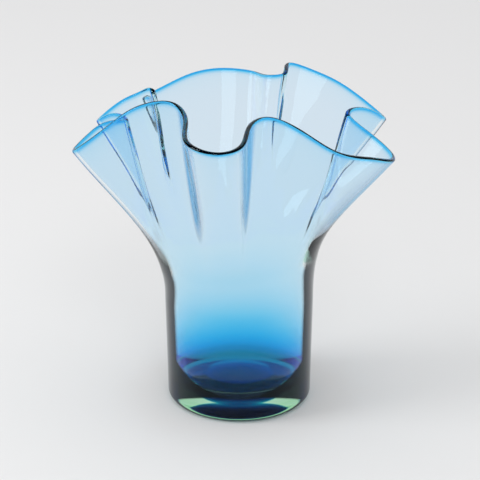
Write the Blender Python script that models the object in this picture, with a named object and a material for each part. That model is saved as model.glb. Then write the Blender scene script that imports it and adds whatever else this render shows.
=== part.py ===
"""A blown glass vase: a thick-bottomed round cup that opens into a flared, deeply ruffled rim.

The vase is one piece of glass. It stands on the XY plane with its axis on Z, in metres. The
ruffled side that faces a viewer looks along -Y, and its widest lobes point to -X and +X.
"""

import math
from typing import NamedTuple

import bmesh
import bpy
import numpy as np

MM = 0.001

# Overall sizes
VASE_HEIGHT = 194.5 * MM  # top of the highest fold above the table
BASE_RADIUS = 42.8 * MM  # outside of the cup, just above the rounded heel
NECK_RADIUS = 43.9 * MM  # outside of the cup, where the flare starts
NECK_HEIGHT = 64 * MM
BEND_HEIGHT = 90 * MM  # where the straight flare, drawn down, would meet the upright cup
BEND_LEAN = 7 * MM  # the bend sits this much higher at +X and lower at -X

# Glass thickness
CUP_WALL = 5 * MM
FLARE_WALL = 3.2 * MM  # once the flare has straightened
LIP_THICKNESS = 2.8 * MM  # the fire-polished edge is a half round of this width
FLOOR_THICKNESS = 12.2 * MM

# Rounded corners of the cup
HEEL_RADIUS = 5 * MM  # outside, between the wall and the underside
CORNER_WIDTH = 9 * MM  # inside, between the wall and the floor
CORNER_HEIGHT = 18 * MM

# The flare's section: how far along its straight part the bend still shows
BEND_SHARE = 0.10
THICK_UNTIL = 0.35  # share of the way up the flare that keeps the cup's wall
THIN_FROM = 0.60  # share from which the wall has thinned to FLARE_WALL

# Fineness of the mesh
COLUMNS = 112
FINE_COLUMNS = 4  # the wall is worked out at this many times the columns
FLARE_STEPS = 9
LIP_STEPS = 4
HEEL_STEPS = 4
CORNER_STEPS = 5
CURVE_STEPS = 40  # between two rim points
FOLD_WEIGHT = 12 * MM  # length of rim that one radian of turning counts for
LEAST_TURN = 0.25  # slowest that the neck turns under the rim, against its mean
BLUR = 9 * MM  # length of rim over which the neck evens out that turning


class RimPoint(NamedTuple):
    """A point on the middle line of the rim."""

    azimuth: float  # degrees from +X, anticlockwise from above
    reach: float  # mm outwards from the neck's outside
    drop: float  # mm below the highest fold


RIM = (
    # Front left: the side of the left lobe, up to the highest fold
    RimPoint(-162.0, 34.0, 18.5),
    RimPoint(-148.0, 18.5, 2.5),
    RimPoint(-136.5, 8.5, 0.0),
    RimPoint(-120.5, 14.0, 3.5),
    # Front lobe, a narrow spout
    RimPoint(-109.5, 37.0, 10.0),
    RimPoint(-98.0, 43.0, 12.5),
    RimPoint(-89.5, 32.0, 12.0),
    # Front right fold, then the long side of the right lobe
    RimPoint(-83.5, 10.5, 7.0),
    RimPoint(-69.5, 1.0, 7.0),
    RimPoint(-57.5, 17.5, 11.0),
    RimPoint(-44.0, 28.5, 23.5),
    RimPoint(-24.0, 37.0, 33.5),
    # Right lobe and the fold behind it
    RimPoint(-9.0, 44.5, 40.0),
    RimPoint(7.0, 32.0, 33.0),
    RimPoint(19.0, 23.0, 24.0),
    RimPoint(24.0, 36.0, 25.0),
    # Right back lobe
    RimPoint(28.5, 54.5, 35.5),
    RimPoint(49.5, 55.0, 24.5),
    RimPoint(62.0, 49.0, 16.0),
    RimPoint(69.5, 41.5, 11.5),
    # Back pleat
    RimPoint(68.5, 26.0, 14.0),
    RimPoint(73.0, 25.0, 15.0),
    # Back lobe, the broadest
    RimPoint(83.5, 38.5, 17.5),
    RimPoint(97.0, 42.5, 16.5),
    RimPoint(110.0, 41.0, 18.0),
    RimPoint(123.5, 40.0, 23.5),
    RimPoint(132.5, 38.5, 26.5),
    # Left back pleat
    RimPoint(135.0, 28.0, 21.0),
    RimPoint(138.0, 26.5, 17.5),
    RimPoint(138.5, 34.5, 21.0),
    # Left back lobe and the fold beside it
    RimPoint(142.5, 43.5, 26.5),
    RimPoint(155.5, 47.5, 34.0),
    RimPoint(159.0, 34.0, 27.0),
    RimPoint(164.0, 25.0, 27.0),
    RimPoint(170.0, 32.0, 27.0),
    # Left lobe
    RimPoint(176.5, 41.5, 31.0),
    RimPoint(183.5, 50.0, 37.0),
)


def rim_knots():
    """The rim points in space."""
    knots = []
    for azimuth, reach, drop in RIM:
        radius = NECK_RADIUS + reach * MM
        turn = math.radians(azimuth)
        height = VASE_HEIGHT - LIP_THICKNESS / 2 - drop * MM
        knots.append((radius * math.cos(turn), radius * math.sin(turn), height))
    return np.array(knots)


def closed_spline(knots):
    """A closed curve through the knots whose bending is continuous, as many points."""
    following = np.roll(knots, -1, axis=0)
    span = np.linalg.norm(following - knots, axis=1)[:, None]
    slope = (following - knots) / span
    span_before, slope_before = np.roll(span, 1, axis=0), np.roll(slope, 1, axis=0)
    unit = np.eye(len(knots))
    system = (
        2 * (span_before + span) * unit
        + span * np.roll(unit, -1, axis=1)
        + span_before * np.roll(unit, 1, axis=1)
    )
    tangent = np.linalg.solve(system, 3 * (span * slope_before + span_before * slope))
    t = (np.arange(CURVE_STEPS) / CURVE_STEPS)[None, :, None]
    start, end = knots[:, None], following[:, None]
    leaving = (span * tangent)[:, None]
    arriving = (span * np.roll(tangent, -1, axis=0))[:, None]
    curve = (
        (1 + 2 * t) * (1 - t) ** 2 * start
        + t * (1 - t) ** 2 * leaving
        + t * t * (3 - 2 * t) * end
        + t * t * (t - 1) * arriving
    )
    return curve.reshape(-1, 3)


def resampled(loop, weights, count):
    """Points of a closed loop, evenly spread by the weight of each of its steps."""
    along = np.concatenate([[0], np.cumsum(weights)])
    wanted = along[-1] * np.arange(count) / count
    closed = np.vstack([loop, loop[:1]])
    return np.stack([np.interp(wanted, along, column) for column in closed.T], axis=1)


def step_vectors(loop):
    return np.roll(loop, -1, axis=0) - loop


def crowded_rim(count):
    """The rim with more of its points where it turns tightly."""
    curve = closed_spline(rim_knots())
    steps = step_vectors(curve)
    length = np.linalg.norm(steps, axis=1)
    heading = steps / length[:, None]
    turning = np.linalg.norm(step_vectors(heading), axis=1)
    return resampled(curve, length + FOLD_WEIGHT * turning, count)


def neck_azimuths(rim):
    """Where on the neck each point of the rim grows from, always turning the same way."""
    azimuth = np.unwrap(np.arctan2(rim[:, 1], rim[:, 0]))
    turn = np.diff(np.append(azimuth, azimuth[0] + 2 * math.pi))
    length = np.linalg.norm(step_vectors(rim), axis=1)
    turn = np.maximum(turn, LEAST_TURN * length * 2 * math.pi / length.sum())
    middle = np.cumsum(length) - length / 2
    apart = np.abs(middle[:, None] - middle[None, :])
    apart = np.minimum(apart, length.sum() - apart)
    share = np.exp(-((apart / BLUR) ** 2)) * length[None, :]
    rate = (share * (turn / length)[None, :]).sum(axis=1) / share.sum(axis=1)
    turn = rate * length * 2 * math.pi / (rate * length).sum()
    neck = np.concatenate([[0], np.cumsum(turn)[:-1]])
    return neck + (azimuth - neck).mean()


def around(radius, height, azimuth):
    """A level ring of points on a round part of the vase."""
    level = np.full_like(azimuth, height)
    return np.stack([radius * np.cos(azimuth), radius * np.sin(azimuth), level], axis=1)


def flare(rim, azimuth, steps):
    """The middle surface of the flare, as rings from the neck to the rim.

    Each upright line of it leaves the cup straight up, bends, and runs straight to the rim.
    """
    radius = NECK_RADIUS - CUP_WALL / 2
    neck = around(radius, NECK_HEIGHT, azimuth)
    bend = around(radius, BEND_HEIGHT, azimuth)
    bend[:, 2] += BEND_LEAN * np.cos(azimuth)
    after = bend + BEND_SHARE * (rim - bend)
    t = np.linspace(0, 1, steps)[:, None, None]
    return (
        (1 - t) ** 3 * neck
        + 3 * t * (1 - t) ** 2 * bend
        + 3 * t * t * (1 - t) * after
        + t**3 * rim
    )


def outward(surface, climb):
    """The unit normals of a surface of rings."""
    sideways = np.roll(surface, -1, axis=1) - np.roll(surface, 1, axis=1)
    normal = np.cross(sideways, climb)
    return normal / np.linalg.norm(normal, axis=2, keepdims=True)


def flare_skins():
    """Rings of the flare's outer skin, its rounded lip and its inner skin, and their azimuths."""
    rim = crowded_rim(COLUMNS * FINE_COLUMNS)
    azimuth = neck_azimuths(rim)
    middle = flare(rim, azimuth, FLARE_STEPS + 1)
    climb = np.gradient(middle, axis=0)
    climb /= np.linalg.norm(climb, axis=2, keepdims=True)
    normal = outward(middle, climb)
    share = np.linspace(0, 1, FLARE_STEPS + 1)
    wall = (CUP_WALL, CUP_WALL, FLARE_WALL, LIP_THICKNESS)
    half = np.interp(share, (0, THICK_UNTIL, THIN_FROM, 1), wall)[:, None, None] / 2
    angle = math.pi * np.arange(1, LIP_STEPS) / LIP_STEPS
    across, over = np.cos(angle)[:, None, None], np.sin(angle)[:, None, None]
    lip = rim + LIP_THICKNESS / 2 * (across * normal[-1] + over * climb[-1])
    rings = [middle + half * normal, lip, (middle - half * normal)[::-1]]
    kept = slice(None, None, FINE_COLUMNS)
    return [ring[:, kept] for ring in rings], azimuth[kept]


def heel(azimuth):
    """Rings from the underside, round the heel, to the wall."""
    angles = [math.pi / 2 * step / HEEL_STEPS for step in range(HEEL_STEPS + 1)]
    inset = BASE_RADIUS - HEEL_RADIUS
    return [
        around(inset + HEEL_RADIUS * math.sin(a), HEEL_RADIUS * (1 - math.cos(a)), azimuth)
        for a in angles
    ]


def cavity_corner(azimuth):
    """Rings from the inside wall, round the inner corner, to the floor."""
    top = FLOOR_THICKNESS + CORNER_HEIGHT
    share = (top - HEEL_RADIUS) / (NECK_HEIGHT - HEEL_RADIUS)
    wall = BASE_RADIUS + share * (NECK_RADIUS - BASE_RADIUS) - CUP_WALL
    angles = [math.pi / 2 * step / CORNER_STEPS for step in range(CORNER_STEPS + 1)]
    return [
        around(
            wall - CORNER_WIDTH * (1 - math.cos(a)), top - CORNER_HEIGHT * math.sin(a), azimuth
        )
        for a in angles
    ]


def vase_rings():
    """Every ring of the skin, from the underside over the lip to the cavity's floor."""
    (outer, lip, inner), azimuth = flare_skins()
    return [*heel(azimuth), *outer, *lip, *inner, *cavity_corner(azimuth)]


def loft(rings, name):
    """A closed mesh over unlike rings of as many points, with a flat cap at both ends."""
    shape = bmesh.new()
    loops = [[shape.verts.new(point) for point in ring] for ring in rings]
    for below, above in zip(loops, loops[1:]):
        for k, vertex in enumerate(below):
            shape.faces.new((below[k - 1], vertex, above[k], above[k - 1]))
    for loop, ring, order in ((loops[0], rings[0], -1), (loops[-1], rings[-1], 1)):
        hub = shape.verts.new((0, 0, ring[0][2]))
        for k, vertex in enumerate(loop):
            shape.faces.new((loop[k - 1], vertex, hub)[::order])
    mesh = bpy.data.meshes.new(name)
    shape.to_mesh(mesh)
    shape.free()
    return mesh


def glass():
    """Pale blue glass."""
    material = bpy.data.materials.new("blue_glass")
    material.use_nodes = True
    surface = material.node_tree.nodes["Principled BSDF"]
    surface.inputs["Base Color"].default_value = (0.30, 0.62, 0.82, 1)
    surface.inputs["Roughness"].default_value = 0.02
    surface.inputs["Metallic"].default_value = 0
    surface.inputs["IOR"].default_value = 1.5
    surface.inputs["Transmission Weight"].default_value = 1
    return material


def build_vase(collection):
    mesh = loft(vase_rings(), "vase")
    mesh.materials.append(glass())
    mesh.shade_smooth()
    mesh.set_sharp_from_angle(angle=math.radians(60))
    vase = bpy.data.objects.new("vase", mesh)
    collection.objects.link(vase)


def clear_scene():
    for obj in list(bpy.data.objects):
        bpy.data.objects.remove(obj, do_unlink=True)


def main():
    clear_scene()
    collection = bpy.data.collections.new("lettuce_leaf_vase")
    bpy.context.scene.collection.children.link(collection)
    build_vase(collection)


if __name__ == "__main__":
    main()
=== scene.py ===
"""The looks of a ruffled blue glass vase on a pale studio floor.

The vase is one blown piece: clear glass with a thin blue layer fused to its inside. The layer is
deep at the cup's floor, thins out upwards and gathers again in the fire-polished lip. A bulb of
the same blue lies in the thick base, where it colours what the glass mirrors within itself.
"""

import logging
import math
from dataclasses import dataclass
from enum import Enum
from typing import NamedTuple

import bpy
import numpy as np
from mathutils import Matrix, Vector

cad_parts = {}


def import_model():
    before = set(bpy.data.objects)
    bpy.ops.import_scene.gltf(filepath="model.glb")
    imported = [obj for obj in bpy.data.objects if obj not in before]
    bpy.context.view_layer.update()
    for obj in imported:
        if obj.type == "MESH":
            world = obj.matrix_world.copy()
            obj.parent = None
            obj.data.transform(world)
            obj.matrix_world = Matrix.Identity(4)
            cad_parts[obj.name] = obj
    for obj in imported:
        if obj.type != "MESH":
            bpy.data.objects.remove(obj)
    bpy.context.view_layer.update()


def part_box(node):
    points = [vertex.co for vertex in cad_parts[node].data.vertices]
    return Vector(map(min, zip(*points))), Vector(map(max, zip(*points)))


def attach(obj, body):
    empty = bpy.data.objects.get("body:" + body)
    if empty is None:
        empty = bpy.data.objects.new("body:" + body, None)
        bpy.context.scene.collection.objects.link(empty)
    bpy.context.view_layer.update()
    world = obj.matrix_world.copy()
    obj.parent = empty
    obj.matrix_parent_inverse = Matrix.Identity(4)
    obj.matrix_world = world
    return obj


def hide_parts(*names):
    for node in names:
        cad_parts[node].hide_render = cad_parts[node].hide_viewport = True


LOG = logging.getLogger("vase")
MM = 0.001
Color = tuple[float, float, float, float]
Span = tuple[float, float]


def calc(
    tree: bpy.types.NodeTree,
    operation: str,
    *values: bpy.types.NodeSocket | float,
    clamp: bool = False,
) -> bpy.types.NodeSocket:
    """Add a Math node to a tree, and return its socket.

    Args:
        tree: The node tree.
        operation: The node's operation.
        values: Its inputs, as sockets or numbers.
        clamp: Whether the result is kept between 0 and 1.
    """
    node = tree.nodes.new("ShaderNodeMath")
    node.operation, node.use_clamp = operation, clamp
    for inlet, value in zip(node.inputs, values):
        if isinstance(value, bpy.types.NodeSocket):
            tree.links.new(value, inlet)
        else:
            inlet.default_value = value
    return node.outputs[0]


def ramp(
    tree: bpy.types.NodeTree,
    value: bpy.types.NodeSocket,
    start: Span,
    to: Span = (0.0, 1.0),
    smooth: bool = True,
) -> bpy.types.NodeSocket:
    """Add a Map Range node to a tree, and return its socket.

    Args:
        tree: The node tree.
        value: What is mapped.
        start: The range that it is mapped from.
        to: The range that it is mapped to.
        smooth: Whether the range's ends are eased.
    """
    node = tree.nodes.new("ShaderNodeMapRange")
    node.interpolation_type = "SMOOTHSTEP" if smooth else "LINEAR"
    for name, bound in zip(("From Min", "From Max", "To Min", "To Max"), (*start, *to)):
        node.inputs[name].default_value = bound
    tree.links.new(value, node.inputs["Value"])
    return node.outputs["Result"]


def blend(
    tree: bpy.types.NodeTree,
    factor: bpy.types.NodeSocket,
    under: bpy.types.NodeSocket | Color,
    over: Color,
    way: str = "MIX",
) -> bpy.types.NodeSocket:
    """Add a Mix node for colours to a tree, and return its socket.

    Args:
        tree: The node tree.
        factor: How much of the upper colour is mixed in.
        under: The lower colour.
        over: The upper colour.
        way: The node's blending mode.
    """
    node = tree.nodes.new("ShaderNodeMix")
    node.data_type, node.blend_type = "RGBA", way
    tree.links.new(factor, node.inputs["Factor"])
    if isinstance(under, bpy.types.NodeSocket):
        tree.links.new(under, node.inputs["A"])
    else:
        node.inputs["A"].default_value = under
    node.inputs["B"].default_value = over
    return node.outputs["Result"]


def trait(tree: bpy.types.NodeTree, which: "Trait") -> bpy.types.NodeSocket:
    """Add a node that reads one of the mesh's traits to a material, and return its socket.

    Args:
        tree: The material's node tree.
        which: The trait.
    """
    node = tree.nodes.new("ShaderNodeAttribute")
    node.attribute_name = which.value
    return node.outputs["Fac"]


class Slot(Enum):
    """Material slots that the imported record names."""

    GLASS = "glass"


class Skin(Enum):
    """Which side of the wall a ring of the mesh lies on."""

    OUTER = 0
    LIP = 1
    INNER = 2


class Trait(Enum):
    """Values that the mesh carries at each point and the node trees read."""

    BLUE = "blue_depth"
    # Where painted shade darkens the thick outer skin seen edge on
    EDGE = "edge_shade"
    GREEN = "green_share"
    # Where painted blue edge shade deepens the flare's outer skin
    FLARE = "flare_edge"
    FREE = "free"


class RimPoint(NamedTuple):
    """A point on the middle line of the rim."""

    azimuth: float  # degrees from +X, anticlockwise from above
    reach: float  # mm outwards from the neck's outside
    drop: float  # mm below the highest fold


RIM = (
    # Front left: the side of the left lobe, up to the highest fold
    RimPoint(-162.0, 34.0, 18.5),
    RimPoint(-148.0, 18.5, 2.5),
    RimPoint(-136.5, 8.5, 0.0),
    RimPoint(-120.5, 14.0, 3.5),
    # Front lobe, a narrow spout
    RimPoint(-109.5, 37.0, 10.0),
    RimPoint(-98.0, 43.0, 12.5),
    RimPoint(-89.5, 32.0, 12.0),
    # Front right fold, then the long side of the right lobe
    RimPoint(-83.5, 10.5, 7.0),
    RimPoint(-69.5, 1.0, 7.0),
    RimPoint(-57.5, 17.5, 11.0),
    RimPoint(-44.0, 28.5, 23.5),
    RimPoint(-24.0, 37.0, 33.5),
    # Right lobe and the fold behind it
    RimPoint(-9.0, 44.5, 40.0),
    RimPoint(7.0, 32.0, 33.0),
    RimPoint(19.0, 23.0, 24.0),
    RimPoint(24.0, 36.0, 25.0),
    # Right back lobe
    RimPoint(28.5, 54.5, 35.5),
    RimPoint(49.5, 55.0, 24.5),
    RimPoint(62.0, 49.0, 16.0),
    RimPoint(69.5, 41.5, 11.5),
    # Back pleat
    RimPoint(68.5, 26.0, 14.0),
    RimPoint(73.0, 25.0, 15.0),
    # Back lobe, the broadest
    RimPoint(83.5, 38.5, 17.5),
    RimPoint(97.0, 42.5, 16.5),
    RimPoint(110.0, 41.0, 18.0),
    RimPoint(123.5, 40.0, 23.5),
    RimPoint(132.5, 38.5, 26.5),
    # Left back pleat
    RimPoint(135.0, 28.0, 21.0),
    RimPoint(138.0, 26.5, 17.5),
    RimPoint(138.5, 34.5, 21.0),
    # Left back lobe and the fold beside it
    RimPoint(142.5, 43.5, 26.5),
    RimPoint(155.5, 47.5, 34.0),
    RimPoint(159.0, 34.0, 27.0),
    RimPoint(164.0, 25.0, 27.0),
    RimPoint(170.0, 32.0, 27.0),
    # Left lobe
    RimPoint(176.5, 41.5, 31.0),
    RimPoint(183.5, 50.0, 37.0),
)


@dataclass(frozen=True)
class RimCurve:
    """The closed middle line of the ruffled rim, and where on the neck each point grows from."""

    neck_radius: float
    top: float
    curve_steps: int = 60
    fold_weight: float = 12 * MM
    least_turn: float = 0.25
    blur: float = 9 * MM

    def knots(self) -> np.ndarray:
        """Return the rim points in space."""
        points = []
        for azimuth, reach, drop in RIM:
            radius, turn = self.neck_radius + reach * MM, math.radians(azimuth)
            height = self.top - drop * MM
            points.append((radius * math.cos(turn), radius * math.sin(turn), height))
        return np.array(points)

    def curve(self) -> np.ndarray:
        """Return a closed curve through the knots whose bending is continuous."""
        knots = self.knots()
        following = np.roll(knots, -1, axis=0)
        span = np.linalg.norm(following - knots, axis=1)[:, None]
        slope = (following - knots) / span
        span_before, slope_before = np.roll(span, 1, axis=0), np.roll(slope, 1, axis=0)
        unit = np.eye(len(knots))
        system = (
            2 * (span_before + span) * unit
            + span * np.roll(unit, -1, axis=1)
            + span_before * np.roll(unit, 1, axis=1)
        )
        tangent = np.linalg.solve(system, 3 * (span * slope_before + span_before * slope))
        t = (np.arange(self.curve_steps) / self.curve_steps)[None, :, None]
        start, end = knots[:, None], following[:, None]
        leaving = (span * tangent)[:, None]
        arriving = (span * np.roll(tangent, -1, axis=0))[:, None]
        points = (
            (1 + 2 * t) * (1 - t) ** 2 * start
            + t * (1 - t) ** 2 * leaving
            + t * t * (3 - 2 * t) * end
            + t * t * (t - 1) * arriving
        )
        return points.reshape(-1, 3)

    def crowded(self, count: int) -> np.ndarray:
        """Return points of the curve, more of them where it turns tightly.

        Args:
            count: How many points to return.
        """
        curve = self.curve()
        steps = np.roll(curve, -1, axis=0) - curve
        length = np.linalg.norm(steps, axis=1)
        heading = steps / length[:, None]
        turning = np.linalg.norm(np.roll(heading, -1, axis=0) - heading, axis=1)
        along = np.concatenate([[0], np.cumsum(length + self.fold_weight * turning)])
        wanted = along[-1] * np.arange(count) / count
        closed = np.vstack([curve, curve[:1]])
        return np.stack([np.interp(wanted, along, column) for column in closed.T], axis=1)

    def neck_azimuths(self, rim: np.ndarray) -> np.ndarray:
        """Return where on the neck each rim point grows from, always turning the same way.

        Args:
            rim: Points of the rim, in order.
        """
        azimuth = np.unwrap(np.arctan2(rim[:, 1], rim[:, 0]))
        turn = np.diff(np.append(azimuth, azimuth[0] + 2 * math.pi))
        length = np.linalg.norm(np.roll(rim, -1, axis=0) - rim, axis=1)
        turn = np.maximum(turn, self.least_turn * length * 2 * math.pi / length.sum())
        middle = np.cumsum(length) - length / 2
        apart = np.abs(middle[:, None] - middle[None, :])
        apart = np.minimum(apart, length.sum() - apart)
        share = np.exp(-((apart / self.blur) ** 2)) * length[None, :]
        rate = (share * (turn / length)[None, :]).sum(axis=1) / share.sum(axis=1)
        turn = rate * length * 2 * math.pi / (rate * length).sum()
        neck = np.concatenate([[0], np.cumsum(turn)[:-1]])
        return neck + (azimuth - neck).mean()


@dataclass(frozen=True)
class BlueLayer:
    """How deep the blue is for one crossing of the wall, as optical depth in red light."""

    flare: float = 0.175
    cup: float = 0.39  # more at cup_height, and more still below it
    cup_height: float = 50 * MM
    cup_fade: float = 16 * MM
    floor: float = 11.0
    floor_height: float = 12 * MM
    floor_fade: float = 5.5 * MM
    deepest: float = 7.5
    lip: float = 1.7
    lip_fade: float = 0.6 * MM
    halo: float = 0.13
    halo_fade: float = 7 * MM

    def inside(self, height: np.ndarray, below_lip: np.ndarray) -> np.ndarray:
        """Return the depth on the inner skin.

        Args:
            height: Height of each point above the table.
            below_lip: Distance of each point below the lip, along the wall.
        """
        cup = self.cup * np.exp((self.cup_height - height) / self.cup_fade)
        floor = self.floor * np.exp((self.floor_height - height) / self.floor_fade)
        deep = np.minimum(self.flare + cup + floor, self.deepest)
        return deep + self.halo * np.exp(-below_lip / self.halo_fade) + self.outside(below_lip)

    def outside(self, below_lip: np.ndarray) -> np.ndarray:
        """Return the depth on the outer skin, which is clear but for the lip.

        Args:
            below_lip: Distance of each point below the lip, along the wall.
        """
        return self.lip * np.exp(-below_lip / self.lip_fade)


@dataclass(frozen=True)
class Tint:
    """A node group that turns an optical depth into the colour of one crossing, squared.

    The shader takes the root of its base colour at each surface, so the square goes in.
    """

    name: str = "tint_of_depth"
    absorbed: tuple[float, float, float] = (1.0, 0.235, 0.009)
    power: tuple[float, float, float] = (1.0, 0.8, 2.0)

    def group(self) -> bpy.types.NodeTree:
        """Return the node group, with input Depth and output Color."""
        tree = bpy.data.node_groups.new(self.name, "ShaderNodeTree")
        tree.interface.new_socket(name="Depth", in_out="INPUT", socket_type="NodeSocketFloat")
        tree.interface.new_socket(name="Color", in_out="OUTPUT", socket_type="NodeSocketColor")
        source, sink = tree.nodes.new("NodeGroupInput"), tree.nodes.new("NodeGroupOutput")
        joined = tree.nodes.new("ShaderNodeCombineColor")
        for channel, (share, power) in enumerate(zip(self.absorbed, self.power)):
            bent = calc(tree, "POWER", source.outputs["Depth"], power)
            passed = calc(tree, "EXPONENT", calc(tree, "MULTIPLY", bent, -2 * share))
            tree.links.new(passed, joined.inputs[channel])
        tree.links.new(joined.outputs["Color"], sink.inputs["Color"])
        return tree


@dataclass(frozen=True)
class BlownGlass:
    """Clear glass, faintly green in the thick base, blue-tinted inside, with painted edge shade.
    """

    name: str = "blown_glass"
    ior: float = 1.5
    roughness: float = 0.0
    volume_color: Color = (0.35, 0.82, 0.64, 1.0)
    volume_density: float = 9.0
    mirrored: Color = (0.30, 0.42, 0.48, 1.0)
    green: Color = (0.46, 0.78, 0.46, 1.0)
    streak_scale: float = 26.0
    streak_share: float = 0.10
    streak_stretch: tuple[float, float, float] = (1.0, 1.0, 0.25)
    ripple_scale: float = 38.0
    ripple_height: float = 0.05 * MM
    # Painted shade darkens the thick outer skin where it is seen edge on, nearly to black.
    edge_from: float = 0.50  # Layer Weight at which the thick skin starts to darken
    edge_to: float = 0.58
    painted_edge_shade: Color = (0.0004, 0.0006, 0.001, 1.0)
    # Painted shade round the cavity's bowl, below a crescent-shaped upper edge.
    bowl_top: float = 31 * MM  # the darkening widens from here down to bowl_bottom
    bowl_bottom: float = 17.5 * MM
    bowl_widening: float = 0.43
    crescent_slope: float = 25 * MM  # how far the crescent's upper edge drops towards its ends
    crescent_from: float = 19.2 * MM
    crescent_to: float = 20.6 * MM
    # Painted edge shade, tinted blue, on the flare's outer skin where it is seen edge on.
    rim_from: float = 0.52  # Layer Weight at which the flare's skin starts to deepen
    rim_to: float = 0.72
    painted_flare_edge_shade: Color = (0.10, 0.38, 0.72, 1.0)

    def material(self) -> bpy.types.Material:
        """Return the material."""
        material = bpy.data.materials.new(self.name)
        material.use_nodes = True
        nodes, links = material.node_tree.nodes, material.node_tree.links
        surface = nodes["Principled BSDF"]
        surface.inputs["Metallic"].default_value = 0.0
        surface.inputs["Roughness"].default_value = self.roughness
        surface.inputs["IOR"].default_value = self.ior
        surface.inputs["Transmission Weight"].default_value = 1.0
        surface.inputs["Specular Tint"].default_value = self.mirrored
        links.new(self.edged(material.node_tree), surface.inputs["Base Color"])
        links.new(self.ripples(material.node_tree), surface.inputs["Normal"])
        volume = nodes.new("ShaderNodeVolumeAbsorption")
        volume.inputs["Color"].default_value = self.volume_color
        volume.inputs["Density"].default_value = self.volume_density
        links.new(volume.outputs["Volume"], nodes["Material Output"].inputs["Volume"])
        return material

    def edged(self, tree: bpy.types.NodeTree) -> bpy.types.NodeSocket:
        """Paint shade into the tint where the thick outer skin is seen edge on; return its socket.

        Args:
            tree: The material's node tree.
        """
        facing = tree.nodes.new("ShaderNodeLayerWeight").outputs["Facing"]
        edge = ramp(tree, facing, (self.edge_from, self.edge_to))
        either = calc(tree, "MAXIMUM", edge, self.bowl(tree, facing))
        leaving = tree.nodes.new("ShaderNodeNewGeometry").outputs["Backfacing"]
        entering = calc(tree, "SUBTRACT", either, leaving, clamp=True)
        amount = calc(tree, "MULTIPLY", entering, trait(tree, Trait.EDGE))
        return blend(tree, amount, self.rimmed(tree, facing), self.painted_edge_shade)

    def bowl(
        self, tree: bpy.types.NodeTree, facing: bpy.types.NodeSocket
    ) -> bpy.types.NodeSocket:
        """Mask painted shade on the glass that mirrors itself round the cavity's bowl; return its
        socket.

        Args:
            tree: The material's node tree.
            facing: How far the skin is seen edge on.
        """
        place = tree.nodes.new("ShaderNodeTexCoord")
        split = tree.nodes.new("ShaderNodeSeparateXYZ")
        tree.links.new(place.outputs["Object"], split.inputs[0])
        height = split.outputs["Z"]
        widened = (0.0, self.bowl_widening)
        widen = ramp(tree, height, (self.bowl_top, self.bowl_bottom), widened, smooth=False)
        wider = calc(tree, "ADD", facing, widen)
        outside = ramp(tree, wider, (self.edge_from, self.edge_to))
        slope = calc(tree, "MULTIPLY_ADD", facing, self.crescent_slope, height)
        above = ramp(tree, slope, (self.crescent_from, self.crescent_to))
        return calc(tree, "MULTIPLY", outside, above)

    def rimmed(
        self, tree: bpy.types.NodeTree, facing: bpy.types.NodeSocket
    ) -> bpy.types.NodeSocket:
        """Paint darker blue shade into the flare's outer skin where it is seen edge on; return its
        socket.

        Args:
            tree: The material's node tree.
            facing: How far the skin is seen edge on.
        """
        edge = ramp(tree, facing, (self.rim_from, self.rim_to))
        amount = calc(tree, "MULTIPLY", edge, trait(tree, Trait.FLARE))
        return blend(tree, amount, self.greened(tree), self.painted_flare_edge_shade, "MULTIPLY")

    def greened(self, tree: bpy.types.NodeTree) -> bpy.types.NodeSocket:
        """Turn the tint greenish round the thick base, and return its socket.

        Args:
            tree: The material's node tree.
        """
        return blend(tree, trait(tree, Trait.GREEN), self.tint(tree), self.green, "MULTIPLY")

    def tint(self, tree: bpy.types.NodeTree) -> bpy.types.NodeSocket:
        """Add the blue layer's colour with faint drawn-out streaks, and return its socket.

        Args:
            tree: The material's node tree.
        """
        place = tree.nodes.new("ShaderNodeTexCoord")
        stretch = tree.nodes.new("ShaderNodeMapping")
        stretch.inputs["Scale"].default_value = self.streak_stretch
        tree.links.new(place.outputs["Object"], stretch.inputs["Vector"])
        noise = tree.nodes.new("ShaderNodeTexNoise")
        noise.inputs["Scale"].default_value = self.streak_scale
        noise.inputs["Detail"].default_value = 2.0
        tree.links.new(stretch.outputs["Vector"], noise.inputs["Vector"])
        swing = (1.0 - self.streak_share, 1.0 + self.streak_share)
        uneven = ramp(tree, noise.outputs["Fac"], (0.0, 1.0), swing, smooth=False)
        tint = tree.nodes.new("ShaderNodeGroup")
        tint.node_tree = Tint().group()
        depth = calc(tree, "MULTIPLY", trait(tree, Trait.BLUE), uneven)
        tree.links.new(depth, tint.inputs["Depth"])
        return tint.outputs["Color"]

    def ripples(self, tree: bpy.types.NodeTree) -> bpy.types.NodeSocket:
        """Add the faint ripples of hand-worked glass, and return their normal's socket.

        Args:
            tree: The material's node tree.
        """
        place = tree.nodes.new("ShaderNodeTexCoord")
        noise = tree.nodes.new("ShaderNodeTexNoise")
        noise.inputs["Scale"].default_value = self.ripple_scale
        noise.inputs["Detail"].default_value = 1.0
        tree.links.new(place.outputs["Object"], noise.inputs["Vector"])
        bump = tree.nodes.new("ShaderNodeBump")
        bump.inputs["Strength"].default_value = 1.0
        bump.inputs["Distance"].default_value = self.ripple_height
        tree.links.new(noise.outputs["Fac"], bump.inputs["Height"])
        return bump.outputs["Normal"]


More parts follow.
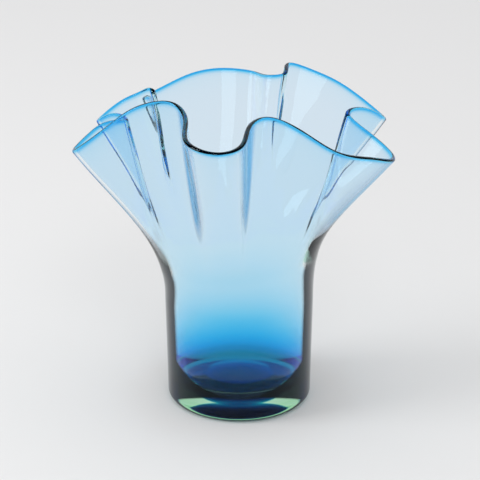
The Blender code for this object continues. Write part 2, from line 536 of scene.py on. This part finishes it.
@dataclass(frozen=True)
class Waviness:
    """A geometry node tree that moves a blown skin in and out by a slow noise."""

    depth: float = 0.18 * MM
    scale: float = 22.0

    def tree(self) -> bpy.types.NodeTree:
        """Return the node tree, with inputs Geometry, Depth, Scale and Material."""
        tree = bpy.data.node_groups.new("hand_blown_waviness", "GeometryNodeTree")
        face = tree.interface
        face.new_socket(name="Geometry", in_out="OUTPUT", socket_type="NodeSocketGeometry")
        face.new_socket(name="Geometry", in_out="INPUT", socket_type="NodeSocketGeometry")
        face.new_socket(name="Depth", in_out="INPUT", socket_type="NodeSocketFloat")
        face.new_socket(name="Scale", in_out="INPUT", socket_type="NodeSocketFloat")
        face.new_socket(name="Material", in_out="INPUT", socket_type="NodeSocketMaterial")
        nodes, links = tree.nodes, tree.links
        source, sink = nodes.new("NodeGroupInput"), nodes.new("NodeGroupOutput")
        noise = nodes.new("ShaderNodeTexNoise")
        noise.inputs["Detail"].default_value = 1.0
        links.new(nodes.new("GeometryNodeInputPosition").outputs[0], noise.inputs["Vector"])
        links.new(source.outputs["Scale"], noise.inputs["Scale"])
        free = nodes.new("GeometryNodeInputNamedAttribute")
        free.data_type = "FLOAT"
        free.inputs["Name"].default_value = Trait.FREE.value
        lowered = calc(tree, "SUBTRACT", noise.outputs["Fac"], 1.0)
        masked = calc(tree, "MULTIPLY", lowered, free.outputs["Attribute"])
        sized = calc(tree, "MULTIPLY", masked, source.outputs["Depth"])
        move = nodes.new("ShaderNodeVectorMath")
        move.operation = "SCALE"
        links.new(nodes.new("GeometryNodeInputNormal").outputs[0], move.inputs[0])
        links.new(sized, move.inputs["Scale"])
        placed = nodes.new("GeometryNodeSetPosition")
        links.new(source.outputs["Geometry"], placed.inputs["Geometry"])
        links.new(move.outputs[0], placed.inputs["Offset"])
        realized = nodes.new("GeometryNodeRealizeInstances")
        links.new(placed.outputs["Geometry"], realized.inputs["Geometry"])
        dressed = nodes.new("GeometryNodeSetMaterial")
        links.new(realized.outputs["Geometry"], dressed.inputs["Geometry"])
        links.new(source.outputs["Material"], dressed.inputs["Material"])
        links.new(dressed.outputs["Geometry"], sink.inputs["Geometry"])
        return tree

    def apply(self, piece: bpy.types.Object, material: bpy.types.Material) -> None:
        """Run the tree on a piece and keep its result as a plain mesh.

        Args:
            piece: The object to change.
            material: The material that the tree sets.
        """
        tree = self.tree()
        modifier = piece.modifiers.new("waviness", "NODES")
        values = {"Depth": self.depth, "Scale": self.scale, "Material": material}
        modifier.node_group = tree
        for item in tree.interface.items_tree:
            if item.in_out == "INPUT" and item.name in values:
                modifier[item.identifier] = values[item.name]
        graph = bpy.context.evaluated_depsgraph_get()
        made = bpy.data.meshes.new_from_object(piece.evaluated_get(graph))
        piece.modifiers.clear()
        piece.data = made


@dataclass(frozen=True)
class Vase:
    """The blown vase: a thick-bottomed cup under a flared, ruffled rim."""

    height: float = 194.5 * MM
    base_radius: float = 42.8 * MM
    neck_radius: float = 43.9 * MM
    neck_height: float = 64 * MM
    bend_height: float = 90 * MM
    bend_lean: float = 7 * MM
    bend_share: float = 0.10
    cup_wall: float = 5 * MM
    flare_wall: float = 3.2 * MM
    thick_until: float = 0.35
    thin_from: float = 0.60
    lip_thickness: float = 2.8 * MM
    floor_thickness: float = 12.2 * MM
    heel_radius: float = 5 * MM
    corner_width: float = 10.7 * MM
    corner_height: float = 18 * MM
    fold_softening: float = 90 * MM  # length of rim over which the folds blur near the neck
    softening_power: float = 1.2
    least_blur: float = 0.2 * MM
    cavity_belly: float = 40.2 * MM  # inside radius just above the inner corner
    floor_dome: float = 1.6 * MM  # how far the cavity's floor rises to its middle
    columns: int = 540
    flare_steps: int = 44
    crowding: float = 1.6
    lip_steps: int = 10
    heel_steps: int = 10
    corner_steps: int = 16
    cup_steps: int = 14
    cap_steps: int = 6
    floor_steps: int = 20
    inset: float = 0.02 * MM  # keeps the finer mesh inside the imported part's box
    still_lip: float = 6 * MM  # the skin wavers less within this distance of the lip
    still_base: float = 8 * MM  # and, outside, below this height
    # Over edge_heights the painted edge shade on the outer skin fades out.
    edge_heights: tuple[float, float, float] = (92 * MM, 118 * MM, 165 * MM)
    green_heights: tuple[float, float] = (10 * MM, 15 * MM)
    # Over flare_heights the flare's painted blue edge shade fades in.
    flare_heights: tuple[float, float] = (95 * MM, 120 * MM)

    def around(self, radius: float, height: float, azimuth: np.ndarray) -> np.ndarray:
        """Return a level ring of points.

        Args:
            radius: The ring's radius.
            height: The ring's height.
            azimuth: The direction of each point.
        """
        level = np.full_like(azimuth, height)
        return np.stack([radius * np.cos(azimuth), radius * np.sin(azimuth), level], axis=1)

    def climbs(self) -> np.ndarray:
        """Return how far up the flare each ring lies, more of them near the lip."""
        return 1 - np.linspace(1, 0, self.flare_steps + 1) ** self.crowding

    def flare(self, rim: np.ndarray, azimuth: np.ndarray) -> np.ndarray:
        """Return the flare's middle surface, as rings from the neck to the rim.

        Args:
            rim: Points of the rim.
            azimuth: Where on the neck each of them grows from.
        """
        radius = self.neck_radius - self.cup_wall / 2
        neck = self.around(radius, self.neck_height, azimuth)
        bend = self.around(radius, self.bend_height, azimuth)
        bend[:, 2] += self.bend_lean * np.cos(azimuth)
        after = bend + self.bend_share * (rim - bend)
        t = self.climbs()[:, None, None]
        ruled = (
            (1 - t) ** 3 * neck
            + 3 * t * (1 - t) ** 2 * bend
            + 3 * t * t * (1 - t) * after
            + t**3 * rim
        )
        return self.softened(ruled, rim, azimuth, t.ravel())

    def softened(
        self, ruled: np.ndarray, rim: np.ndarray, azimuth: np.ndarray, share: np.ndarray
    ) -> np.ndarray:
        """Return the flare's rings with the folds blurred between the neck and the rim.

        Args:
            ruled: The rings, as straight lines from the bend to the rim give them.
            rim: Points of the rim.
            azimuth: Where on the neck each of them grows from.
            share: How far up the flare each ring lies.
        """
        length = np.linalg.norm(np.roll(rim, -1, axis=0) - rim, axis=1)
        middle = np.cumsum(length) - length / 2
        apart = np.abs(middle[:, None] - middle[None, :])
        apart = np.minimum(apart, length.sum() - apart)
        soft = ruled.copy()
        for ring, t in enumerate(share):
            width = self.fold_softening * (1 - t) ** self.softening_power
            if width < self.least_blur:
                continue
            x, y, height = ruled[ring].T
            offset = np.unwrap(np.arctan2(y, x)) - azimuth
            offset -= 2 * math.pi * np.round(offset.mean() / (2 * math.pi))
            weight = np.exp(-((apart / width) ** 2)) * length[None, :]
            weight /= weight.sum(axis=1, keepdims=True)
            radius, offset, height = weight @ np.hypot(x, y), weight @ offset, weight @ height
            turn = azimuth + offset
            soft[ring] = np.stack([radius * np.cos(turn), radius * np.sin(turn), height], axis=1)
        return soft

    def flare_skins(self) -> tuple[list[np.ndarray], np.ndarray]:
        """Return rings of the outer skin, the lip and the inner skin, and their azimuths."""
        curve = RimCurve(self.neck_radius, self.height - self.lip_thickness / 2)
        rim = curve.crowded(self.columns)
        azimuth = curve.neck_azimuths(rim)
        middle = self.flare(rim, azimuth)
        climb = np.gradient(middle, axis=0)
        climb /= np.linalg.norm(climb, axis=2, keepdims=True)
        sideways = np.roll(middle, -1, axis=1) - np.roll(middle, 1, axis=1)
        normal = np.cross(sideways, climb)
        normal /= np.linalg.norm(normal, axis=2, keepdims=True)
        share = self.climbs()
        wall = (self.cup_wall, self.cup_wall, self.flare_wall, self.lip_thickness)
        stops = (0, self.thick_until, self.thin_from, 1)
        half = np.interp(share, stops, wall)[:, None, None] / 2
        angle = math.pi * np.arange(1, self.lip_steps) / self.lip_steps
        across, over = np.cos(angle)[:, None, None], np.sin(angle)[:, None, None]
        lip = rim + self.lip_thickness / 2 * (across * normal[-1] + over * climb[-1])
        return [middle + half * normal, lip, (middle - half * normal)[::-1]], azimuth

    def rings(self) -> tuple[np.ndarray, list[Skin]]:
        """Return every ring of the skin from the underside to the cavity's floor, and its side."""
        (outer, lip, inner), azimuth = self.flare_skins()
        rings, skins = [], []

        def add(radius: float, height: float, skin: Skin) -> None:
            """Add a level ring.

            Args:
                radius: The ring's radius.
                height: The ring's height.
                skin: The side that it lies on.
            """
            rings.append(self.around(radius, height, azimuth))
            skins.append(skin)

        flat = self.base_radius - self.heel_radius
        for step in range(1, self.cap_steps):
            add(flat * step / self.cap_steps, 0.0, Skin.OUTER)
        for step in range(self.heel_steps + 1):
            a = math.pi / 2 * step / self.heel_steps
            radius = flat + self.heel_radius * math.sin(a)
            add(radius, self.heel_radius * (1 - math.cos(a)), Skin.OUTER)
        for step in range(1, self.cup_steps):
            share = step / self.cup_steps
            radius = self.base_radius + share * (self.neck_radius - self.base_radius)
            height = self.heel_radius + share * (self.neck_height - self.heel_radius)
            add(radius, height, Skin.OUTER)
        for group, skin in ((outer, Skin.OUTER), (lip, Skin.LIP), (inner, Skin.INNER)):
            rings.extend(group)
            skins.extend([skin] * len(group))
        top = self.floor_thickness + self.corner_height
        wall, inside = self.cavity_belly, self.neck_radius - self.cup_wall
        for step in range(1, self.cup_steps):
            share = step / self.cup_steps
            swell = share * share * (3 - 2 * share)
            height = self.neck_height + share * (top - self.neck_height)
            add(inside + swell * (wall - inside), height, Skin.INNER)
        for radius, height in self.bottom():
            add(radius, height, Skin.INNER)
        return np.array(rings), skins

    def bottom(self) -> np.ndarray:
        """Return radius and height down the cavity's corner and in across its floor."""
        top = self.floor_thickness + self.corner_height
        a = math.pi / 2 * np.arange(self.corner_steps + 1) / self.corner_steps
        radius = self.cavity_belly - self.corner_width * (1 - np.cos(a))
        corner = np.stack([radius, top - self.corner_height * np.sin(a)], axis=1)
        share = 1 - np.arange(1, self.floor_steps) / self.floor_steps
        rise = self.floor_dome * (1 + np.cos(math.pi * share)) / 2
        floor = self.cavity_belly - self.corner_width
        return np.vstack([corner, np.stack([floor * share, self.floor_thickness + rise], axis=1)])

    def mesh(self, blue: BlueLayer) -> bpy.types.Mesh:
        """Return the closed mesh with its UV map and the attributes that the finish reads.

        Args:
            blue: The blue layer.
        """
        rings, skins = self.rings()
        count, columns = rings.shape[:2]
        points = rings.reshape(-1, 3)
        hubs = np.array([(0, 0, 0), (0, 0, self.floor_thickness + self.floor_dome)])
        vertices = np.vstack([points, hubs])
        low, high = count * columns, count * columns + 1
        here = np.arange(columns)
        nxt = (here + 1) % columns
        faces, corners = [], []
        for ring in range(count - 1):
            a, b = ring * columns, (ring + 1) * columns
            faces.extend(zip(a + here, a + nxt, b + nxt, b + here))
        for k in range(columns):
            faces.append((nxt[k], k, low))
        last = (count - 1) * columns
        for k in range(columns):
            faces.append((last + k, last + nxt[k], high))
        mesh = bpy.data.meshes.new("vase_glass")
        mesh.from_pydata(vertices.tolist(), [], [tuple(int(v) for v in face) for face in faces])
        step = np.linalg.norm(np.diff(rings, axis=0), axis=2).mean(axis=1)
        along = np.concatenate([[0], np.cumsum(step)])
        along = (along + along[-1] * 0.01) / (along[-1] * 1.02)
        layer = mesh.uv_layers.new(name="UVMap")
        for ring in range(count - 1):
            v0, v1 = along[ring], along[ring + 1]
            for k in range(columns):
                u0, u1 = k / columns, (k + 1) / columns
                corners.extend((u0, v0, u1, v0, u1, v1, u0, v1))
        for k in range(columns):
            u0, u1 = k / columns, (k + 1) / columns
            corners.extend((u1, along[0], u0, along[0], (u0 + u1) / 2, 0.0))
        for k in range(columns):
            u0, u1 = k / columns, (k + 1) / columns
            corners.extend((u0, along[-1], u1, along[-1], (u0 + u1) / 2, 1.0))
        layer.data.foreach_set("uv", np.array(corners, np.float32))
        self.paint(mesh, rings, skins, blue)
        mesh.shade_smooth()
        mesh.validate()
        return mesh

    def paint(
        self, mesh: bpy.types.Mesh, rings: np.ndarray, skins: list[Skin], blue: BlueLayer
    ) -> None:
        """Write every trait as an attribute of the mesh.

        Args:
            mesh: The mesh to write on.
            rings: Its rings of points.
            skins: Which side each ring lies on.
            blue: The blue layer.
        """
        sides = np.array([skin.value for skin in skins])
        outer, inner = sides == Skin.OUTER.value, sides == Skin.INNER.value
        lips = np.nonzero(sides == Skin.LIP.value)[0]
        step = np.linalg.norm(np.diff(rings, axis=0), axis=2)
        along = np.concatenate([np.zeros((1, rings.shape[1])), np.cumsum(step, axis=0)])
        before = along[lips[0]] - along
        after = along - along[lips[-1]]
        below = np.maximum(np.maximum(before, after), 0)
        height = rings[:, :, 2]
        inside = blue.inside(height, below)
        outside = blue.outside(below)
        depth = np.where(inner[:, None], inside, outside)
        lip_share = np.linspace(0, 1, len(lips) + 2)[1:-1][:, None]
        depth[lips] = (1 - lip_share) * outside[lips] + lip_share * inside[lips]
        from_lip = np.clip(below / self.still_lip, 0, 1)
        from_base = np.clip(height / self.still_base, 0, 1)
        free = np.where(inner[:, None], from_lip, from_base * from_lip)
        edge = np.interp(height, self.edge_heights, (1.0, 0.3, 0.0))
        green = np.interp(height, self.green_heights, (1.0, 0.0))
        flare = np.interp(height, self.flare_heights, (0.0, 1.0))
        edge, green, flare = (np.where(outer[:, None], x, 0.0) for x in (edge, green, flare))
        for trait, values, hubs in (
            (Trait.BLUE, depth, (depth[0, 0], depth[-1, 0])),
            (Trait.EDGE, edge, (1.0, 0.0)),
            (Trait.GREEN, green, (1.0, 0.0)),
            (Trait.FLARE, flare, (0.0, 0.0)),
            (Trait.FREE, free, (0.0, free[-1, 0])),
        ):
            layer = mesh.attributes.new(trait.value, "FLOAT", "POINT")
            layer.data.foreach_set("value", np.append(values.ravel(), hubs).astype(np.float32))

    def fit(self, mesh: bpy.types.Mesh, low: np.ndarray, high: np.ndarray) -> None:
        """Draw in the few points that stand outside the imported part's box.

        Args:
            mesh: The mesh to change.
            low: The box's lowest corner.
            high: The box's highest corner.
        """
        co = np.zeros(len(mesh.vertices) * 3, np.float32)
        mesh.vertices.foreach_get("co", co)
        points = co.reshape(-1, 3)
        share = np.minimum(1.0, (high - self.inset) / points.max(axis=0))
        lower = (low[:2] + self.inset) / points.min(axis=0)[:2]
        share[:2] = np.minimum(share[:2], lower)
        mesh.vertices.foreach_set("co", (points * share.astype(np.float32)).ravel())

    def build(self, blue: BlueLayer, glass: BlownGlass, waviness: Waviness) -> bpy.types.Object:
        """Return the finished piece.

        Args:
            blue: The blue layer.
            glass: The finish.
            waviness: The unevenness of the blown skin.
        """
        piece = bpy.data.objects.new("vase_glass", self.mesh(blue))
        bpy.context.scene.collection.objects.link(piece)
        waviness.apply(piece, glass.material())
        low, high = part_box("vase")
        self.fit(piece.data, np.array(low), np.array(high))
        LOG.info("vase_glass: %d vertices", len(piece.data.vertices))
        return piece


@dataclass(frozen=True)
class BlueGlass:
    """The blue glass inside the clear glass; it bends no light of its own there."""

    name: str = "blue_glass"
    volume_color: Color = (0.0, 0.80, 0.90, 1.0)
    volume_density: float = 1000.0
    cord_scale: float = 90.0
    cord_dark: Color = (0.72, 0.86, 0.97, 1.0)
    cord_light: Color = (0.95, 0.97, 1.0, 1.0)

    def material(self) -> bpy.types.Material:
        """Return the material."""
        material = bpy.data.materials.new(self.name)
        material.use_nodes = True
        nodes, links = material.node_tree.nodes, material.node_tree.links
        surface = nodes["Principled BSDF"]
        surface.inputs["Metallic"].default_value = 0.0
        surface.inputs["Roughness"].default_value = 0.0
        surface.inputs["IOR"].default_value = 1.0
        surface.inputs["Transmission Weight"].default_value = 1.0
        place, noise = nodes.new("ShaderNodeTexCoord"), nodes.new("ShaderNodeTexNoise")
        noise.inputs["Scale"].default_value = self.cord_scale
        links.new(place.outputs["Object"], noise.inputs["Vector"])
        cords = nodes.new("ShaderNodeValToRGB")
        cords.color_ramp.elements[0].color = self.cord_dark
        cords.color_ramp.elements[1].color = self.cord_light
        links.new(noise.outputs["Fac"], cords.inputs["Fac"])
        links.new(cords.outputs["Color"], surface.inputs["Base Color"])
        volume = nodes.new("ShaderNodeVolumeAbsorption")
        volume.inputs["Color"].default_value = self.volume_color
        volume.inputs["Density"].default_value = self.volume_density
        links.new(volume.outputs["Volume"], nodes["Material Output"].inputs["Volume"])
        return material


@dataclass(frozen=True)
class BlueGather:
    """The thick bulb of blue glass under the middle of the cavity's floor."""

    gap: float = 0.3 * MM  # between it and the cavity's skin
    edge: float = 0.03 * MM  # thickness at its edge
    middle: float = 10.0 * MM  # thickness under the middle of the floor
    bulb_from: float = 26 * MM  # radius of its edge
    bulb_full: float = 12 * MM  # radius within which it has its full thickness
    steps: int = 24
    columns: int = 192

    def sides(self, vase: Vase) -> tuple[np.ndarray, np.ndarray]:
        """Return radius and height of its upper and lower sides, from the edge to the middle.

        Args:
            vase: The vase that it lies in.
        """
        skin = vase.bottom()
        radius = self.bulb_from * (1 - np.arange(self.steps) / self.steps)
        floor = np.interp(radius, skin[::-1, 0], skin[::-1, 1])
        near = np.clip((self.bulb_from - radius) / (self.bulb_from - self.bulb_full), 0, 1)
        depth = self.edge + (self.middle - self.edge) * near * near * (3 - 2 * near)
        upper = np.stack([radius, floor - self.gap], axis=1)
        return upper, np.stack([radius, floor - self.gap - depth], axis=1)

    def build(self, vase: Vase, glass: BlueGlass) -> bpy.types.Object:
        """Return the finished piece.

        Args:
            vase: The vase that it lies in.
            glass: The finish.
        """
        upper, lower = self.sides(vase)
        profile = np.vstack([upper[::-1], lower])
        azimuth = 2 * math.pi * np.arange(self.columns) / self.columns
        rings = np.array([vase.around(radius, height, azimuth) for radius, height in profile])
        count, columns = rings.shape[:2]
        hubs = np.array([(0, 0, profile[0, 1]), (0, 0, profile[-1, 1])])
        here = np.arange(columns)
        nxt = (here + 1) % columns
        faces = []
        for ring in range(count - 1):
            a, b = ring * columns, (ring + 1) * columns
            faces.extend(zip(a + here, b + here, b + nxt, a + nxt))
        low, last = count * columns, (count - 1) * columns
        faces.extend((k, int(nxt[k]), low) for k in range(columns))
        faces.extend((last + int(nxt[k]), last + k, low + 1) for k in range(columns))
        mesh = bpy.data.meshes.new("blue_gather")
        vertices = np.vstack([rings.reshape(-1, 3), hubs])
        mesh.from_pydata(vertices.tolist(), [], [tuple(int(v) for v in face) for face in faces])
        mesh.shade_smooth()
        mesh.validate()
        mesh.materials.append(glass.material())
        piece = bpy.data.objects.new("blue_gather", mesh)
        bpy.context.scene.collection.objects.link(piece)
        LOG.info("blue_gather: %d vertices", len(mesh.vertices))
        return piece


class Zone(NamedTuple):
    """A round patch of painted shade or painted light on the floor, which only shows through the
    glass.
    """

    back: float  # how far behind the vase's axis its middle lies
    radius: float
    color: Color


@dataclass(frozen=True)
class Studio:
    """The pale floor, the soft lights and the camera."""

    floor_size: float = 12.0
    floor_drop: float = 0.2 * MM
    floor_unevenness: float = 0.985
    floor_color: Color = (0.80, 0.80, 0.80, 1.0)
    world_seen: Color = (0.80, 0.80, 0.80, 1.0)
    world_ambient: Color = (0.87, 0.87, 0.875, 1.0)
    world_mirrored: Color = (0.03, 0.06, 0.14, 1.0)
    world_through_glass: Color = (0.02, 0.30, 1.10, 1.0)
    seen_through_glass: Color = (0.80, 0.83, 0.87, 1.0)
    # Painted shade and painted pools of light on the floor under the base, seen only through the
    # glass.
    painted_zones: tuple[Zone, ...] = (
        Zone(0.0, 38 * MM, (0.02, 0.15, 0.45, 1.0)),  # painted shade, dim blue, under the whole base
        Zone(-30 * MM, 42 * MM, (0.008, 0.012, 0.03, 1.0)),  # painted shade in front
        Zone(20 * MM, 18 * MM, (0.03, 0.80, 1.00, 1.0)),  # painted gleam of light behind
        Zone(11 * MM, 20 * MM, (0.03, 0.50, 0.90, 1.0)),  # painted pool of blue light in the middle
    )
    zone_soft: float = 1.5 * MM  # half the width of each zone's edge
    backdrop_color: Color = (0.80, 0.80, 0.80, 1.0)
    backdrop_towards: tuple[float, float, float] = (0.0, 0.93, 0.366)
    backdrop_span: Span = (0.62, 0.74)
    lamp_target: tuple[float, float, float] = (0.0, 0.0, 0.1)
    camera_place: tuple[float, float, float] = (0.0005, -1.0235, 0.50165)
    camera_target: tuple[float, float, float] = (0.0005, 0.0, 0.0985)
    lens: float = 141.1
    sensor: float = 36.0

    def floor_material(self) -> bpy.types.Material:
        """Return a barely uneven matt white; through the glass it glows, with painted shade and
        light.
        """
        material = bpy.data.materials.new("studio_floor")
        material.use_nodes = True
        nodes, links = material.node_tree.nodes, material.node_tree.links
        surface = nodes["Principled BSDF"]
        surface.inputs["Roughness"].default_value = 0.9
        surface.inputs["Specular IOR Level"].default_value = 0.1
        place = nodes.new("ShaderNodeTexCoord")
        noise = nodes.new("ShaderNodeTexNoise")
        noise.inputs["Scale"].default_value = 1.5
        links.new(place.outputs["Object"], noise.inputs["Vector"])
        shades = nodes.new("ShaderNodeValToRGB")
        darker = tuple(c * self.floor_unevenness for c in self.floor_color[:3])
        shades.color_ramp.elements[0].color = (*darker, 1.0)
        shades.color_ramp.elements[1].color = self.floor_color
        links.new(noise.outputs["Fac"], shades.inputs["Fac"])
        links.new(shades.outputs["Color"], surface.inputs["Base Color"])
        # Rays through the glass see an even pale glow with the painted shade and light patches on
        # it.
        glow, path = nodes.new("ShaderNodeEmission"), nodes.new("ShaderNodeLightPath")
        shown = self.seen_through_glass
        for zone in self.painted_zones:
            mask = self.disc(material.node_tree, zone)
            shown = blend(material.node_tree, mask, shown, zone.color)
        links.new(shown, glow.inputs["Color"])
        either = nodes.new("ShaderNodeMixShader")
        links.new(path.outputs["Is Transmission Ray"], either.inputs["Fac"])
        links.new(surface.outputs["BSDF"], either.inputs[1])
        links.new(glow.outputs["Emission"], either.inputs[2])
        links.new(either.outputs["Shader"], nodes["Material Output"].inputs["Surface"])
        return material

    def disc(self, tree: bpy.types.NodeTree, zone: Zone) -> bpy.types.NodeSocket:
        """Add a soft-edged disc mask to a material, and return its socket.

        Args:
            tree: The material's node tree.
            zone: The disc.
        """
        place = tree.nodes.new("ShaderNodeTexCoord")
        away = tree.nodes.new("ShaderNodeVectorMath")
        away.operation = "DISTANCE"
        away.inputs[1].default_value = (0.0, zone.back, -self.floor_drop)
        tree.links.new(place.outputs["Object"], away.inputs[0])
        span = (zone.radius + self.zone_soft, zone.radius - self.zone_soft)
        return ramp(tree, away.outputs["Value"], span)

    def floor(self) -> None:
        """Lay the floor."""
        half, low = self.floor_size / 2, -self.floor_drop
        mesh = bpy.data.meshes.new("floor")
        corners = [(-half, -half, low), (half, -half, low), (half, half, low), (-half, half, low)]
        mesh.from_pydata(corners, [], [(0, 1, 2, 3)])
        mesh.materials.append(self.floor_material())
        floor = bpy.data.objects.new("floor", mesh)
        bpy.context.scene.collection.objects.link(floor)

    def world(self) -> None:
        """Surround the scene: pale for the camera, even for the floor, dusk for the glass."""
        world = bpy.data.worlds.new("studio")
        bpy.context.scene.world = world
        world.use_nodes = True
        nodes, links = world.node_tree.nodes, world.node_tree.links
        path, shown = nodes.new("ShaderNodeLightPath"), nodes["Background"]
        place, card = nodes.new("ShaderNodeTexCoord"), nodes.new("ShaderNodeVectorMath")
        card.operation = "DOT_PRODUCT"
        card.inputs[1].default_value = self.backdrop_towards
        links.new(place.outputs["Generated"], card.inputs[0])
        tree, through = world.node_tree, path.outputs["Is Transmission Ray"]
        near = ramp(tree, card.outputs["Value"], self.backdrop_span)
        dusk = blend(tree, through, self.world_mirrored, self.world_through_glass)
        links.new(blend(tree, near, dusk, self.backdrop_color), shown.inputs["Color"])
        for output, color in (
            ("Diffuse Depth", self.world_ambient),
            ("Is Camera Ray", self.world_seen),
        ):
            light, mix = nodes.new("ShaderNodeBackground"), nodes.new("ShaderNodeMixShader")
            light.inputs["Color"].default_value = color
            clamp = nodes.new("ShaderNodeClamp")
            links.new(path.outputs[output], clamp.inputs["Value"])
            links.new(clamp.outputs[0], mix.inputs["Fac"])
            links.new(shown.outputs[0], mix.inputs[1])
            links.new(light.outputs[0], mix.inputs[2])
            shown = mix
        links.new(shown.outputs[0], nodes["World Output"].inputs["Surface"])

    def lamp(
        self, name: str, place: tuple[float, float, float], size: tuple[float, float], power: float
    ) -> None:
        """Hang a rectangular soft light that faces the vase.

        Args:
            name: The lamp's name.
            place: Where it hangs.
            size: Its width and height.
            power: Its power in watts.
        """
        light = bpy.data.lights.new(name, "AREA")
        light.shape = "RECTANGLE"
        light.size, light.size_y = size
        light.energy = power
        lamp = bpy.data.objects.new(name, light)
        bpy.context.scene.collection.objects.link(lamp)
        lamp.location = place
        lamp.visible_transmission = False
        self.aim(lamp, self.lamp_target)

    def aim(self, thing: bpy.types.Object, target: tuple[float, float, float]) -> None:
        """Turn a lamp or camera towards a point.

        Args:
            thing: The lamp or camera.
            target: The point.
        """
        to = np.array(target) - np.array(thing.location)
        flat = math.hypot(to[0], to[1])
        thing.rotation_euler = (math.atan2(flat, -to[2]), 0.0, math.atan2(-to[0], to[1]))

    def camera(self) -> None:
        """Place the camera at the photograph's angle."""
        data = bpy.data.cameras.new("camera")
        data.lens, data.sensor_width = self.lens, self.sensor
        camera = bpy.data.objects.new("camera", data)
        bpy.context.scene.collection.objects.link(camera)
        camera.location = self.camera_place
        self.aim(camera, self.camera_target)
        bpy.context.scene.camera = camera

    def build(self) -> None:
        """Set up the whole studio."""
        self.floor()
        self.world()
        self.lamp("key_left", (-1.6, -0.35, 0.85), (0.8, 1.1), 12.5)
        self.lamp("front_top", (0.3, -2.0, 1.8), (0.9, 0.75), 8.0)
        self.camera()
        scene = bpy.context.scene
        scene.view_settings.view_transform = "Standard"
        scene.cycles.max_bounces = 32
        scene.cycles.transmission_bounces = 32
        scene.cycles.glossy_bounces = 16


def main() -> None:
    """Build the vase and the studio."""
    logging.basicConfig(level=logging.INFO, format="%(name)s: %(message)s")
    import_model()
    vase = Vase()
    outer = vase.build(BlueLayer(), BlownGlass(), Waviness())
    gather = BlueGather().build(vase, BlueGlass())
    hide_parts("vase")
    for piece in (outer, gather):
        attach(piece, "root")
    Studio().build()


if __name__ == "__main__":
    main()
